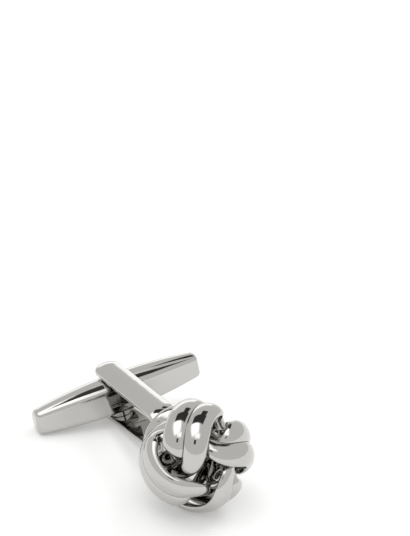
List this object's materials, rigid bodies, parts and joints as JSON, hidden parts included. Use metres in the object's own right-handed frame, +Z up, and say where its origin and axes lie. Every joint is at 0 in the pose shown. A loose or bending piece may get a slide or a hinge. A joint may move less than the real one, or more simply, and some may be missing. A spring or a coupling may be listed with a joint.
{
  "type": "cufflink",
  "caption": "Woven love-knot cufflink in polished silver-coloured metal, with a U-shaped yoke and a torpedo-shaped toggle that swivels on a pin between its legs.",
  "frame": {"origin": "under the middle of the box of the cufflink as it lies by itself on a table, on the knot, one leg and one end of the toggle", "axes": "+Z up from the table; +X along the post's run over the table, from the toggle to the knot; Y across, along the toggle"},
  "size_m": [0.026, 0.0194, 0.0122],
  "materials": {
    "polished_metal": "mirror polish",
    "steel": "plain spring steel"
  },
  "bodies": {
    "head": {"strand_a_left": "polished_metal", "strand_a_right": "polished_metal", "strand_b_left": "polished_metal", "strand_b_right": "polished_metal", "back_plate": "polished_metal", "yoke": "polished_metal", "pivot_pin": "steel"},
    "swivel_bar": {"toggle": "polished_metal", "leaf_spring": "steel"}
  },
  "joints": [
    {"name": "toggle_swivel", "type": "hinge", "parent": "head", "child": "swivel_bar", "pos_m": [-0.01035, 0, 0.00339], "axis": [-0.144, -0.1985, 0.9695], "range_deg": [-83, 97]}
  ]
}
